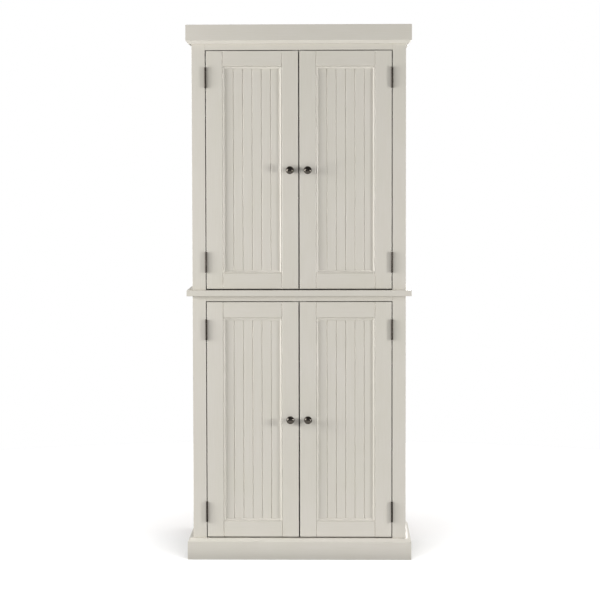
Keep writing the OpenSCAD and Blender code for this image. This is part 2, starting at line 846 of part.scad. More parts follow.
module door_hinge_leaves(door, s) {
    color(bronze) side_of(s) for (z = door[3]) leaf(-1, z);
}

// The strike plate with its screw, the knob's screw and the door leaves' screws
module door_fixings(door, s) {
    color(zinc) side_of(s) {
        difference() {
            strike_place(door)
                block([-strike_w / 2, 0, -strike_h / 2], [strike_w / 2, strike_t, strike_h / 2]);
            strike_place(door) rotate([-90, 0, 0]) translate([0, 0, -over])
                cylinder(d = screw_d + 2 * fixing_fit, h = strike_t + 2 * over);
        }
        strike_place(door) translate([0, -strike_screw_in, 0]) rotate([-90, 0, 0])
            cylinder(d = screw_d, h = strike_screw_in + strike_t);
        knob_place(door) translate([0, -knob_screw_in, 0]) rotate([-90, 0, 0])
            cylinder(d = knob_screw_d, h = knob_screw_in + board_t);
        knob_place(door) translate([0, board_t, 0]) rotate([-90, 0, 0])
            cylinder(d = 2 * knob_screw_d, h = knob_head_t);
        for (z = door[3]) leaf_screws(-1, z);
    }
}

// ---- Drawing ----

side_panel(-1);  // side_panel_left
side_panel(1);  // side_panel_right
bottom_panel();
middle_panel();
top_panel();
back_sheet_lower();
back_sheet_upper();
wall_rail();
face_stile(-1);  // face_stile_left
face_stile(1);  // face_stile_right
face_rail_top();
face_rail_middle();
face_rail_bottom();
crown_front();
crown_left();
crown_right();
waist_front();
waist_left();
waist_right();
base_front();
base_left();
base_right();
lower_shelves();
upper_shelves();
shelf_pins();
hinge_frame_leaves();
hinge_pins();
case_screws();
magnetic_catches();
cam_fittings();
dowels();
door_stiles(upper_door, -1);  // upper_left_stiles
door_rails(upper_door, -1);  // upper_left_rails
door_panel(upper_door, -1);  // upper_left_panel
door_bead(upper_door, -1);  // upper_left_bead
door_knob(upper_door, -1);  // upper_left_knob
door_hinge_leaves(upper_door, -1);  // upper_left_hinge_leaves
door_fixings(upper_door, -1);  // upper_left_fixings
door_stiles(upper_door, 1);  // upper_right_stiles
door_rails(upper_door, 1);  // upper_right_rails
door_panel(upper_door, 1);  // upper_right_panel
door_bead(upper_door, 1);  // upper_right_bead
door_knob(upper_door, 1);  // upper_right_knob
door_hinge_leaves(upper_door, 1);  // upper_right_hinge_leaves
door_fixings(upper_door, 1);  // upper_right_fixings
door_stiles(lower_door, -1);  // lower_left_stiles
door_rails(lower_door, -1);  // lower_left_rails
door_panel(lower_door, -1);  // lower_left_panel
door_bead(lower_door, -1);  // lower_left_bead
door_knob(lower_door, -1);  // lower_left_knob
door_hinge_leaves(lower_door, -1);  // lower_left_hinge_leaves
door_fixings(lower_door, -1);  // lower_left_fixings
door_stiles(lower_door, 1);  // lower_right_stiles
door_rails(lower_door, 1);  // lower_right_rails
door_panel(lower_door, 1);  // lower_right_panel
door_bead(lower_door, 1);  // lower_right_bead
door_knob(lower_door, 1);  // lower_right_knob
door_hinge_leaves(lower_door, 1);  // lower_right_hinge_leaves
door_fixings(lower_door, 1);  // lower_right_fixings
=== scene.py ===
import json
import math
import random

import bmesh
import bpy
from mathutils import Matrix, Vector

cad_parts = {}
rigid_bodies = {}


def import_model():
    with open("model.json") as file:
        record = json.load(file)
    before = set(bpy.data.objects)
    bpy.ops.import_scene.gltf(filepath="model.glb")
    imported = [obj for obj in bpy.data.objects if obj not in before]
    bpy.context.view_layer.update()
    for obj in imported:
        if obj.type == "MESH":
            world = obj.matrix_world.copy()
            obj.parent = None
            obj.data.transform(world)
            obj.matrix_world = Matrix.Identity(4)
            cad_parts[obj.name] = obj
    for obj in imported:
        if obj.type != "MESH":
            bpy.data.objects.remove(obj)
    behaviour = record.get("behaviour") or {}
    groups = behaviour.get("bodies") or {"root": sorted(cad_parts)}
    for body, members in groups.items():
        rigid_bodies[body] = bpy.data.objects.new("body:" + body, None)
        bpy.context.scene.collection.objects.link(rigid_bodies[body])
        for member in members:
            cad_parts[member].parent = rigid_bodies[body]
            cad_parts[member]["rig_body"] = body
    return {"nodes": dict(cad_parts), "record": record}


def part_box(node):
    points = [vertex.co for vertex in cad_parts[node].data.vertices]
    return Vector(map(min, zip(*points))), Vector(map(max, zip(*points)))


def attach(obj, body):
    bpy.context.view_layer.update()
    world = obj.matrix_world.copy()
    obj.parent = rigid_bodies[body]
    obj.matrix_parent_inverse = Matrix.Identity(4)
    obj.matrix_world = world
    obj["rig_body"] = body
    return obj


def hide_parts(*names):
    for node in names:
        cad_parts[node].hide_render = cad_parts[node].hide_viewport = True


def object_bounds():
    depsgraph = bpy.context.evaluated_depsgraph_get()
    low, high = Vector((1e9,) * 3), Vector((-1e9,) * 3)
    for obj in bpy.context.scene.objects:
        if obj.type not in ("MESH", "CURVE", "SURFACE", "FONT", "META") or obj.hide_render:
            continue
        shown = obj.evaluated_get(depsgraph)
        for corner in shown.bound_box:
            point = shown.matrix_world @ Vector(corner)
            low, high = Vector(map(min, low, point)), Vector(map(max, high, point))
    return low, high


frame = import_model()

cad_low, cad_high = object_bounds()
DOORS = ("upper_left", "upper_right", "lower_left", "lower_right")
MM = 0.001
SLOT_OF = {part["node"]: part["material_slot"] for part in frame["record"]["subparts"]}
SEED = 12
chance = random.Random(SEED)


# ---- Shader helpers ----

# A colour mix node's sockets, by their numbers
MIX_A = 6
MIX_B = 7
MIX_RESULT = 2


class Shader:
    """A material's node tree, with short calls that add nodes and link them."""

    def __init__(self, name):
        self.material = bpy.data.materials.new(name)
        self.material.use_nodes = True
        self.tree = self.material.node_tree
        self.tree.nodes.clear()
        self.output = self.add("ShaderNodeOutputMaterial")
        self.surface = self.add("ShaderNodeBsdfPrincipled")
        self.link(self.surface.outputs[0], self.output.inputs["Surface"])
        self.place = self.add("ShaderNodeTexCoord").outputs["Object"]

    def add(self, kind, inputs=None, **settings):
        node = self.tree.nodes.new(kind)
        for key, value in settings.items():
            setattr(node, key, value)
        for key, value in (inputs or {}).items():
            self.put(node.inputs[key], value)
        return node

    def link(self, output, socket):
        self.tree.links.new(output, socket)

    def put(self, socket, value):
        if isinstance(value, bpy.types.NodeSocket):
            self.link(value, socket)
        else:
            socket.default_value = value

    def set(self, **sockets):
        """Sets or links the surface's sockets; an underscore in a name stands for a space."""
        for key, value in sockets.items():
            self.put(self.surface.inputs[key.replace("_", " ")], value)

    def stretched(self, scale):
        """The place on the object, stretched by a factor for each axis."""
        return self.add("ShaderNodeMapping", {"Vector": self.place, "Scale": scale}).outputs[0]

    def noise(self, scale, detail=3.0, roughness=0.55, stretch=(1, 1, 1)):
        """A cloudy value about 0.5, finer with scale."""
        inputs = {"Vector": self.stretched(stretch), "Scale": scale, "Detail": detail,
                  "Roughness": roughness}
        return self.add("ShaderNodeTexNoise", inputs).outputs["Fac"]

    def ramp(self, value, low, high, out_low=0.0, out_high=1.0):
        """The value from low to high, spread over out_low to out_high and held beyond."""
        inputs = {"Value": value, "From Min": low, "From Max": high,
                  "To Min": out_low, "To Max": out_high}
        return self.add("ShaderNodeMapRange", inputs).outputs[0]

    def math(self, operation, a, b=0.0):
        return self.add("ShaderNodeMath", {0: a, 1: b}, operation=operation).outputs[0]

    def mix(self, factor, a, b):
        node = self.add("ShaderNodeMix", data_type="RGBA")
        self.put(node.inputs["Factor"], factor)
        self.put(node.inputs[MIX_A], a)
        self.put(node.inputs[MIX_B], b)
        return node.outputs[MIX_RESULT]

    def near_edge(self, reach):
        """1 at outward edges, fading to 0 at a distance of reach."""
        inputs = {"Distance": reach}
        node = self.add("ShaderNodeAmbientOcclusion", inputs, samples=6, inside=True, only_local=True)
        return self.math("SUBTRACT", 1.0, node.outputs["AO"])

    def in_corner(self, reach):
        """1 deep in gaps and inner corners, fading to 0 in the open."""
        node = self.add("ShaderNodeAmbientOcclusion", {"Distance": reach}, samples=6)
        return self.math("SUBTRACT", 1.0, node.outputs["AO"])

    def bump(self, layers):
        """Stacks bump layers, each (height, strength, distance)."""
        normal = None
        for height, strength, distance in layers:
            inputs = {"Height": height, "Strength": strength, "Distance": distance}
            if normal is not None:
                inputs["Normal"] = normal
            normal = self.add("ShaderNodeBump", inputs).outputs[0]
        self.link(normal, self.surface.inputs["Normal"])


def colour(red, green, blue):
    """A colour from its 0 to 255 display values, as the linear colour that a socket takes."""
    def linear(value):
        value /= 255
        return value / 12.92 if value <= 0.04045 else ((value + 0.055) / 1.055) ** 2.4
    return (linear(red), linear(green), linear(blue), 1.0)


def along(axis, lengthwise, across):
    """A stretch for a texture that runs along one axis."""
    return tuple(lengthwise if name == axis else across for name in "xyz")


# ---- Materials ----


def paint(axis):
    """Satin off-white paint, brushed out along one axis, a little rubbed at its edges, with painted shade
    in its corners and gaps.
    """
    s = Shader("paint_" + axis)
    streaks = s.noise(1.0, 4.0, 0.6, along(axis, 9, 420))
    broad = s.noise(5.0, 2.0, 0.5)
    patch = s.noise(21.0, 4.0, 0.6, along(axis, 0.35, 1))
    peel = s.noise(900.0, 2.0, 0.5)
    warm = s.mix(s.ramp(broad, 0.35, 0.65), colour(214, 210, 199), colour(216, 211, 202))
    tone = s.mix(s.ramp(streaks, 0.35, 0.7, 0, 0.5), warm, colour(207, 202, 189))
    tone = s.mix(s.ramp(patch, 0.42, 0.7, 0, 0.35), tone, colour(218, 214, 205))
    # Painted shade: the colour turns brown-grey deep in corners, gaps and joints, where shade falls
    corner = s.ramp(s.in_corner(4 * MM), 0.35, 0.9, 0, 0.7)
    tone = s.mix(corner, tone, colour(150, 141, 120))
    edge = s.ramp(s.near_edge(1.6 * MM), 0.3, 0.75)
    rub = s.ramp(s.noise(55.0, 5.0, 0.7, along(axis, 0.3, 1)), 0.5, 0.66)
    wear = s.math("MULTIPLY", edge, rub)
    tone = s.mix(s.math("MULTIPLY", wear, 0.5), tone, colour(176, 163, 136))
    s.set(Base_Color=tone)
    s.set(Roughness=s.math("ADD", s.ramp(streaks, 0.3, 0.7, 0.4, 0.5), s.math("MULTIPLY", wear, 0.15)))
    s.bump([(streaks, 0.16, 0.25 * MM), (peel, 0.1, 0.12 * MM)])
    return s.material


def inside_paint():
    """The smoother sprayed finish of the inside boards, with painted shade in its corners."""
    s = Shader("inside_paint")
    broad = s.noise(6.0, 3.0, 0.55)
    peel = s.noise(700.0, 2.0, 0.5)
    tone = s.mix(s.ramp(broad, 0.35, 0.65), colour(216, 212, 201), colour(220, 216, 206))
    # Painted shade: the colour darkens deep in corners and gaps, where shade falls
    tone = s.mix(s.ramp(s.in_corner(6 * MM), 0.3, 0.9, 0, 0.3), tone, colour(178, 171, 153))
    s.set(Base_Color=tone, Roughness=s.ramp(peel, 0.3, 0.7, 0.42, 0.5))
    s.bump([(peel, 0.12, 0.12 * MM)])
    return s.material


def back_board():
    """Thin hardboard: raw brown fibre behind, painted on the side that faces the shelves."""
    s = Shader("back_board")
    fibre = s.noise(1.0, 5.0, 0.65, (260, 260, 900))
    cloud = s.noise(9.0, 4.0, 0.6)
    fleck = s.ramp(s.noise(1.0, 2.0, 0.5, (500, 500, 1500)), 0.62, 0.7)
    raw = s.mix(s.ramp(fibre, 0.3, 0.7), colour(140, 108, 76), colour(172, 139, 102))
    raw = s.mix(s.ramp(cloud, 0.4, 0.65, 0, 0.5), raw, colour(152, 118, 84))
    raw = s.mix(s.math("MULTIPLY", fleck, 0.5), raw, colour(104, 76, 52))
    facing = s.add("ShaderNodeSeparateXYZ", {0: s.add("ShaderNodeTexCoord").outputs["Normal"]})
    inside = s.ramp(facing.outputs["Y"], -0.5, -0.6)
    s.set(Base_Color=s.mix(inside, raw, colour(217, 213, 202)))
    s.set(Roughness=s.ramp(fibre, 0.2, 0.8, 0.62, 0.78))
    s.bump([(fibre, 0.25, 0.2 * MM)])
    return s.material


def bronze(name, dark, light, dull, rub_amount):
    """Dark bronze between two tones, at least as rough as dull, with its edges rubbed brighter."""
    s = Shader(name)
    cloud = s.noise(240.0, 4.0, 0.6)
    grain = s.noise(2200.0, 2.0, 0.5)
    tone = s.mix(s.ramp(cloud, 0.35, 0.65), colour(*dark), colour(*light))
    edge = s.math("MULTIPLY", s.ramp(s.near_edge(0.7 * MM), 0.25, 0.7), s.ramp(cloud, 0.4, 0.62))
    tone = s.mix(s.math("MULTIPLY", edge, rub_amount), tone, colour(122, 104, 88))
    s.set(Base_Color=tone, Metallic=1.0, Roughness=s.ramp(cloud, 0.3, 0.7, dull, dull + 0.12))
    s.bump([(grain, 0.12, 0.05 * MM)])
    return s.material


def zinc():
    """Bright zinc plate, faintly yellowed and scratched."""
    s = Shader("zinc")
    cloud = s.noise(180.0, 3.0, 0.6)
    scratch = s.noise(1.0, 3.0, 0.6, (2400, 2400, 300))
    tone = s.mix(s.ramp(cloud, 0.35, 0.65), colour(188, 188, 186), colour(204, 200, 188))
    s.set(Base_Color=tone, Metallic=1.0, Roughness=s.ramp(scratch, 0.3, 0.7, 0.26, 0.42))
    s.bump([(scratch, 0.1, 0.04 * MM)])
    return s.material


def catch_plastic():
    """Moulded white plastic with a fine texture."""
    s = Shader("catch_plastic")
    cloud = s.noise(60.0, 2.0, 0.5)
    pores = s.noise(1800.0, 2.0, 0.5)
    tone = s.mix(s.ramp(cloud, 0.35, 0.65), colour(232, 231, 226), colour(226, 224, 216))
    s.set(Base_Color=tone, Roughness=s.ramp(pores, 0.3, 0.7, 0.34, 0.44))
    s.bump([(pores, 0.15, 0.05 * MM)])
    return s.material


def beech():
    """Plain beech with short dark flecks along its grain."""
    s = Shader("beech")
    grain = s.noise(1.0, 4.0, 0.6, (40, 500, 500))
    fleck = s.ramp(s.noise(1.0, 2.0, 0.5, (220, 1600, 1600)), 0.6, 0.68)
    tone = s.mix(s.ramp(grain, 0.3, 0.7), colour(214, 178, 132), colour(228, 197, 154))
    tone = s.mix(s.math("MULTIPLY", fleck, 0.5), tone, colour(160, 118, 78))
    s.set(Base_Color=tone, Roughness=s.ramp(grain, 0.3, 0.7, 0.5, 0.62))
    s.bump([(grain, 0.2, 0.1 * MM)])
    return s.material


def floor_white():
    """Pale matt studio floor, with a painted contact shadow where the cabinet meets it."""
    s = Shader("floor_white")
    cloud = s.noise(1.5, 3.0, 0.5)
    tone = s.mix(s.ramp(cloud, 0.3, 0.7), colour(247, 247, 247), colour(249, 249, 249))
    # Painted shadow: the floor turns grey where the cabinet stands close over it
    tone = s.mix(s.ramp(s.in_corner(0.22), 0.05, 0.5, 0, 0.5), tone, colour(205, 205, 205))
    s.set(Base_Color=tone, Roughness=0.9)
    return s.material


PAINT = {axis: paint(axis) for axis in "xyz"}
MATERIAL = {
    "inside_paint": inside_paint(),
    "back_board": back_board(),
    "knob_metal": bronze("knob_metal", (70, 66, 61), (84, 79, 73), 0.13, 0.4),
    "hinge_metal": bronze("hinge_metal", (46, 42, 39), (62, 57, 53), 0.34, 0.4),
    "zinc": zinc(),
    "catch_plastic": catch_plastic(),
    "beech": beech(),
}


# ---- Meshes ----

WELD_REACH = 0.002 * MM
FLAT_WITHIN = math.radians(0.5)
SMOOTH_UP_TO = math.radians(38)
SOFT_EDGE_STEPS = 3
ALONG_AXIS = 0.999

# The least turn, in degrees, and the least length of an edge that is rounded over
BOARD_TURN = 25
BOARD_EDGE = 12 * MM


def welded(node):
    """A node's CAD mesh with its points joined and its flat triangles merged."""
    mesh = bmesh.new()
    mesh.from_mesh(frame["nodes"][node].data)
    bmesh.ops.remove_doubles(mesh, verts=mesh.verts, dist=WELD_REACH)
    bmesh.ops.dissolve_limit(mesh, angle_limit=FLAT_WITHIN, verts=mesh.verts, edges=mesh.edges)
    return mesh


def sharp_edges(mesh, least_angle, least_length):
    """Edges of some length where the surface turns outwards by more than an angle in degrees."""
    return [e for e in mesh.edges if len(e.link_faces) == 2 and e.is_convex
            and e.calc_face_angle() > math.radians(least_angle) and e.calc_length() >= least_length]


def runs_along(edge, axis):
    """Whether an edge is straight along one axis."""
    way = (edge.verts[1].co - edge.verts[0].co).normalized()
    return abs(way["xyz".index(axis)]) > ALONG_AXIS


def finished(name, mesh, body, material, replaced):
    """Makes a mesh a piece that stands for CAD nodes, smooth over its curves and flat on its flats."""
    data = bpy.data.meshes.new(name)
    for face in mesh.faces:
        face.smooth = True
    for edge in mesh.edges:
        edge.smooth = len(edge.link_faces) == 2 and edge.calc_face_angle() < SMOOTH_UP_TO
    mesh.to_mesh(data)
    mesh.free()
    data.materials.append(material)
    piece = bpy.data.objects.new(name, data)
    bpy.context.scene.collection.objects.link(piece)
    weigh = piece.modifiers.new("even_normals", "WEIGHTED_NORMAL")
    weigh.keep_sharp = True
    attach(piece, body)
    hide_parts(*replaced)


def body_of(node):
    """The body that a CAD node moves with."""
    return frame["nodes"][node]["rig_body"]


def round_over(mesh, edges, width):
    """Rounds some edges of a mesh over."""
    bmesh.ops.bevel(mesh, geom=edges, offset=width, offset_type="OFFSET", segments=SOFT_EDGE_STEPS,
                    profile=0.5, affect="EDGES", clamp_overlap=True)


def softened(node, axis, width, material, least_length=BOARD_EDGE):
    """Stands for a board: its own shape, with its outer edges along one axis, or all, rounded over."""
    mesh = welded(node)
    edges = [e for e in sharp_edges(mesh, BOARD_TURN, least_length) if axis is None or runs_along(e, axis)]
    round_over(mesh, edges, width)
    finished(node + "_finished", mesh, body_of(node), material, [node])


class Turning:
    """Adds round shapes to a mesh, each along its own axis from a place."""

    def __init__(self, mesh, place, way):
        self.mesh = mesh
        self.place = Vector(place)
        self.way = Vector(way).normalized()
        self.across = self.way.orthogonal().normalized()
        self.up = self.way.cross(self.across)

    def point(self, radius, depth, angle):
        offset = radius * (math.cos(angle) * self.across + math.sin(angle) * self.up)
        return self.mesh.verts.new(self.place + depth * self.way + offset)

    def ring(self, radius, depth, sides):
        return [self.point(radius, depth, 2 * math.pi * i / sides) for i in range(sides)]

    def skin(self, first, second):
        """Four-sided faces between two rings of the same count."""
        for i in range(len(first)):
            j = (i + 1) % len(first)
            self.mesh.faces.new((first[i], second[i], second[j], first[j]))

    def stack(self, outline, sides):
        """Rings at each (radius, depth), joined in turn. Gives the first and the last ring."""
        rings = [self.ring(radius, depth, sides) for radius, depth in outline]
        for first, second in zip(rings, rings[1:]):
            self.skin(first, second)
        return rings[0], rings[-1]


def bend(start, corner, end, steps=8):
    """Points of a curve from start to end that leans towards a corner."""
    points = []
    for i in range(1, steps + 1):
        t = i / steps
        weights = ((1 - t) ** 2, 2 * t * (1 - t), t ** 2)
        points.append(tuple(sum(w * p[k] for w, p in zip(weights, (start, corner, end))) for k in (0, 1)))
    return points


def solids(mesh):
    """The separate solids in a mesh, each as a list of its points."""
    seen = set()
    found = []
    for start in mesh.verts:
        if start in seen:
            continue
        seen.add(start)
        group = [start]
        # The group grows while it is gone through
        for vert in group:
            for edge in vert.link_edges:
                other = edge.other_vert(vert)
                if other not in seen:
                    seen.add(other)
                    group.append(other)
        found.append(group)
    return found


# ---- Knobs ----

# The knob's radii and its distances out from the door. Those from the stem's end to the lip are
# distances in from the head's rim, and the foot's round is how far its edge goes in.
KNOB_FOOT = 8.5 * MM
KNOB_FOOT_EDGE = 1.2 * MM
KNOB_FOOT_TOP = 2 * MM
KNOB_FOOT_ROUND = 0.8 * MM
KNOB_STEM = 5.5 * MM
KNOB_STEM_START = 6 * MM
KNOB_STEM_END = 5 * MM
KNOB_FLARE = 2 * MM
KNOB_UNDER = 1.6 * MM
KNOB_UNDER_IN = 0.7 * MM
KNOB_LIP = 1.4 * MM
KNOB_DOME = 10 * MM
KNOB_DOME_STEPS = 26
KNOB_SIDES = 96


def knob_outline(radius, out):
    """A foot, a waisted stem and a mushroom head, as (radius, distance out from the door)."""
    rim = out - KNOB_DOME
    foot_edge = (KNOB_FOOT, KNOB_FOOT_EDGE)
    foot_top = (KNOB_FOOT - KNOB_FOOT_ROUND, KNOB_FOOT_TOP)
    stem_end = (KNOB_STEM, rim - KNOB_STEM_END)
    under = (radius - KNOB_UNDER_IN, rim - KNOB_UNDER)
    outline = [(KNOB_FOOT, 0), foot_edge]
    outline += bend(foot_edge, (KNOB_FOOT, KNOB_FOOT_TOP), foot_top, 4)
    outline += bend(foot_top, (KNOB_STEM, KNOB_FOOT_TOP + 0.4 * MM), (KNOB_STEM, KNOB_STEM_START))
    outline += [stem_end]
    outline += bend(stem_end, (KNOB_STEM, rim - KNOB_FLARE), under)
    outline += bend(under, (radius, rim - KNOB_LIP), (radius, rim), 5)
    for i in range(1, KNOB_DOME_STEPS):
        angle = math.pi / 2 * i / KNOB_DOME_STEPS
        outline.append((radius * math.cos(angle), rim + KNOB_DOME * math.sin(angle)))
    return outline


def knob(door):
    """Stands for a door's knob. The radius of its head and its reach are those of the CAD knob."""
    node = door + "_knob"
    low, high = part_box(node)
    centre = ((low.x + high.x) / 2, high.y, (low.z + high.z) / 2)
    mesh = bmesh.new()
    turning = Turning(mesh, centre, (0, -1, 0))
    foot, top = turning.stack(knob_outline((high.x - low.x) / 2, high.y - low.y), KNOB_SIDES)
    mesh.faces.new(foot)
    mesh.faces.new(reversed(top))
    bmesh.ops.recalc_face_normals(mesh, faces=mesh.faces)
    finished(node + "_turned", mesh, body_of(node), MATERIAL[SLOT_OF[node]], [node])


# ---- Screws and strike plates ----

SCREW_SIDES = 32

# Shares of a screw head's radius, for its cross recess
CROSS_REACH = 0.6
CROSS_HALF_WIDTH = 0.15
CROSS_DEPTH = 0.42
CROSS_ON_PAN = 0.85
CROSS_BASE = 0.6

# A pan head's flat top, as a share of its radius, and where its side starts, of its height
PAN_TOP = 0.72
PAN_SIDE = 0.55

# A screw's point: its radius as a share of the shank's, and its length in shank radii
POINT_R = 0.25
POINT_LENGTH = 2

# A flat head narrows by at least this, and a screw's width and depth differ by less than SAME_WIDTH
LEAST_TAPER = 0.05 * MM
SAME_WIDTH = 0.2 * MM
SAME_DEPTH = 0.01 * MM

PLATE_TURN = 60
PLATE_EDGE = 5 * MM
PLATE_ROUND = 0.4 * MM


def screw_facts(group):
    """From a screw's points: its head's middle, its way in, its sizes and whether it's flat-headed."""
    points = [vert.co for vert in group]
    low = Vector([min(p[i] for p in points) for i in range(3)])
    high = Vector([max(p[i] for p in points) for i in range(3)])
    size = high - low
    axis = max(range(3), key=lambda i: size[i])
    middle = (low + high) / 2
    depths = sorted({round(p[axis], 6) for p in points})

    def widest(depth):
        offsets = [p - middle for p in points if abs(p[axis] - depth) < SAME_DEPTH]
        for offset in offsets:
            offset[axis] = 0
        return max(offset.length for offset in offsets)

    sign = 1
    if widest(depths[-1]) > widest(depths[0]):
        sign = -1
        depths.reverse()
    head = middle.copy()
    head[axis] = depths[0]
    way = Vector([sign if i == axis else 0 for i in range(3)])
    head_r = widest(depths[0])
    head_t = abs(depths[1] - depths[0])
    flat = widest(depths[1]) < head_r - LEAST_TAPER
    return head, way, head_r, head_t, widest(depths[-1]), size[axis], flat


def add_screw(mesh, group):
    """A screw with a cross recess, flat-headed or pan-headed, where a CAD screw is."""
    head, way, head_r, head_t, shank_r, length, flat = screw_facts(group)
    turning = Turning(mesh, head, way)
    arm = CROSS_REACH * head_r
    half = CROSS_HALF_WIDTH * head_r
    if flat:
        outline = [(head_r, 0), (shank_r, head_t)]
    else:
        arm *= CROSS_ON_PAN
        outline = [(PAN_TOP * head_r, 0)]
        outline += bend(outline[0], (head_r, 0), (head_r, PAN_SIDE * head_t), 4)
        outline += [(head_r, head_t), (shank_r, head_t)]
    outline += [(shank_r, length - POINT_LENGTH * shank_r), (POINT_R * shank_r, length)]
    top, tip = turning.stack(outline, SCREW_SIDES)
    mesh.faces.new(reversed(tip))
    spin = chance.uniform(0, math.pi)
    corners = [(half, half), (half, arm), (-half, arm), (-half, half), (-arm, half), (-arm, -half),
               (-half, -half), (-half, -arm), (half, -arm), (half, -half), (arm, -half), (arm, half)]

    def cross(scale, depth):
        return [turning.point(scale * math.hypot(x, y), depth, spin + math.atan2(y, x))
                for x, y in corners]

    mouth = cross(1.0, 0)
    base = cross(CROSS_BASE, CROSS_DEPTH * head_r)
    turning.skin(mouth, base)
    mesh.faces.new(base)
    loops = [mesh.edges.get((ring[i - 1], ring[i])) for ring in (top, mouth) for i in range(len(ring))]
    bmesh.ops.triangle_fill(mesh, edges=loops, use_beauty=True)


def is_screw(group):
    """Whether a solid is as wide as it is deep, which the plates aren't."""
    spans = sorted(max(v.co[i] for v in group) - min(v.co[i] for v in group) for i in range(3))
    return spans[1] - spans[0] < SAME_WIDTH


def cut_screws(node):
    """A mesh with a finished screw for each screw of a node."""
    source = welded(node)
    mesh = bmesh.new()
    for group in solids(source):
        if is_screw(group):
            add_screw(mesh, group)
    bmesh.ops.recalc_face_normals(mesh, faces=mesh.faces)
    source.free()
    return mesh


def keep_plates(node, mesh):
    """Adds a node's plates to a mesh, with their edges rounded over."""
    source = welded(node)
    screws = [vert for group in solids(source) if is_screw(group) for vert in group]
    bmesh.ops.delete(source, geom=screws, context="VERTS")
    round_over(source, sharp_edges(source, PLATE_TURN, PLATE_EDGE), PLATE_ROUND)
    scrap = bpy.data.meshes.new("scrap")
    source.to_mesh(scrap)
    source.free()
    mesh.from_mesh(scrap)
    bpy.data.meshes.remove(scrap)


# ---- The cabinet ----

# How far edges are rounded over
FRAME_ROUND = 0.6 * MM
TRIM_ROUND = 1.0 * MM
SIDE_ROUND = 0.5 * MM
BOARD_ROUND = 0.6 * MM
SHEET_ROUND = 0.4 * MM
STILE_ROUND = 0.7 * MM
RAIL_ROUND = 0.5 * MM
PANEL_ROUND = 0.35 * MM
BEAD_ROUND = 0.3 * MM

# The shortest edges that are rounded over on small and on long pieces
CATCH_EDGE = 2 * MM
LONG_EDGE = 100 * MM

for node in ("face_stile_left", "face_stile_right"):
    softened(node, "z", FRAME_ROUND, PAINT["z"])
for node in ("face_rail_top", "face_rail_middle", "face_rail_bottom"):
    softened(node, "x", FRAME_ROUND, PAINT["x"])
for level in ("crown", "waist", "base"):
    softened(level + "_front", "x", TRIM_ROUND, PAINT["x"])
    for side in ("_left", "_right"):
        softened(level + side, "y", TRIM_ROUND, PAINT["y"])
for node in ("side_panel_left", "side_panel_right"):
    softened(node, "z", SIDE_ROUND, PAINT["z"])
softened("top_panel", None, SIDE_ROUND, PAINT["x"])
for node in ("bottom_panel", "middle_panel", "wall_rail", "lower_shelves", "upper_shelves"):
    softened(node, "x", BOARD_ROUND, MATERIAL["inside_paint"])
softened("magnetic_catches", None, BOARD_ROUND, MATERIAL["catch_plastic"], CATCH_EDGE)
for node in ("back_sheet_lower", "back_sheet_upper"):
    softened(node, None, SHEET_ROUND, MATERIAL["back_board"], LONG_EDGE)

case_screws = cut_screws("case_screws")
finished("case_screws_cut", case_screws, body_of("case_screws"), MATERIAL["zinc"], ["case_screws"])

for door in DOORS:
    softened(door + "_stiles", "z", STILE_ROUND, PAINT["z"])
    softened(door + "_rails", "x", RAIL_ROUND, PAINT["x"])
    softened(door + "_panel", "z", PANEL_ROUND, PAINT["z"])
    softened(door + "_bead", None, BEAD_ROUND, PAINT["z"], LONG_EDGE)
    knob(door)
    node = door + "_fixings"
    fixings = cut_screws(node)
    keep_plates(node, fixings)
    finished(node + "_cut", fixings, body_of(node), MATERIAL["zinc"], [node])

# The hinges, pins, cams and dowels keep their CAD shape
for node, obj in frame["nodes"].items():
    if not obj.hide_render:
        slot = SLOT_OF[node]
        obj.data.materials.clear()
        obj.data.materials.append(PAINT["z"] if slot == "paint" else MATERIAL[slot])


# ---- Studio ----

scene = bpy.context.scene
scene.view_settings.view_transform = "Standard"
DOOR_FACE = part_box("upper_left_stiles")[0].y
FLOOR_RADIUS = 3.0


def stage_piece(name, mesh, material=None):
    """Makes a mesh a piece of the studio, which isn't part of the cabinet."""
    data = bpy.data.meshes.new(name)
    mesh.to_mesh(data)
    mesh.free()
    if material:
        data.materials.append(material)
    piece = bpy.data.objects.new(name, data)
    scene.collection.objects.link(piece)
    return piece


floor_mesh = bmesh.new()
bmesh.ops.create_circle(floor_mesh, cap_ends=True, segments=96, radius=FLOOR_RADIUS)
floor = stage_piece("floor", floor_mesh, floor_white())
floor.visible_diffuse = False

# A flag stands beside the case and keeps the strong lamps on the left off its left side
FLAG_X = cad_low.x - 20 * MM
FLAG_FRONT = DOOR_FACE - 5 * MM
FLAG_BACK = 0.45
FLAG_BOTTOM = 5 * MM
FLAG_TOP = 2.2
flag_mesh = bmesh.new()
flag_corners = ((FLAG_FRONT, FLAG_BOTTOM), (FLAG_BACK, FLAG_BOTTOM),
                (FLAG_BACK, FLAG_TOP), (FLAG_FRONT, FLAG_TOP))
flag_mesh.faces.new([flag_mesh.verts.new((FLAG_X, y, z)) for y, z in flag_corners])
flag = stage_piece("flag", flag_mesh)
for kind in ("camera", "diffuse", "glossy", "transmission"):
    setattr(flag, "visible_" + kind, False)

